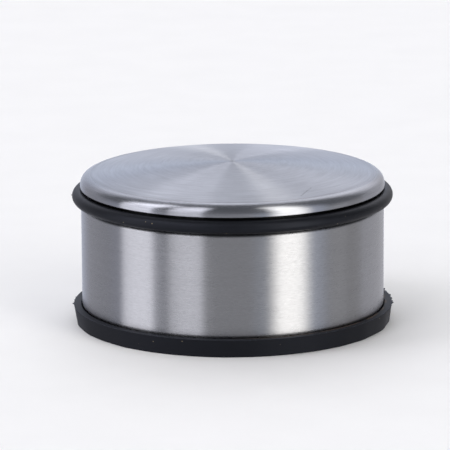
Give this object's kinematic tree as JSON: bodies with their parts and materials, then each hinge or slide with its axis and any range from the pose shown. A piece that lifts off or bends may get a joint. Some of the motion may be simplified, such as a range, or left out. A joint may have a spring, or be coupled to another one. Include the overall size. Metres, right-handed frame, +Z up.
{
  "type": "door stop",
  "caption": "Free-standing weight door stop: low brushed steel drum with a domed cap, a rubber bumper ring under it and a ribbed rubber foot.",
  "frame": {"origin": "centre of the underside, on the floor", "axes": "+Z up along the drum's axis, from the rubber foot to the cap; +X and +Y across the drum, which is round"},
  "size_m": [0.106, 0.106, 0.0533],
  "materials": {
    "cap_steel": "satin",
    "shell_steel": "satin",
    "ring_rubber": "satin",
    "foot_rubber": "matte",
    "ballast_iron": "matte",
    "spacer_foam": "matte",
    "plate_zinc": "satin",
    "fastener_zinc": "satin"
  },
  "bodies": {
    "root": {"rubber_foot": "foot_rubber", "side_shell": "shell_steel", "bumper_ring": "ring_rubber", "top_cap": "cap_steel", "bottom_plate": "plate_zinc", "ballast_weight": "ballast_iron", "foam_spacer": "spacer_foam", "cap_stud": "fastener_zinc", "stud_nut": "fastener_zinc", "stud_washer": "fastener_zinc", "foot_screw_1": "fastener_zinc", "foot_screw_2": "fastener_zinc", "foot_screw_3": "fastener_zinc", "screw_washer_1": "fastener_zinc", "screw_washer_2": "fastener_zinc", "screw_washer_3": "fastener_zinc"}
  },
  "joints": []
}
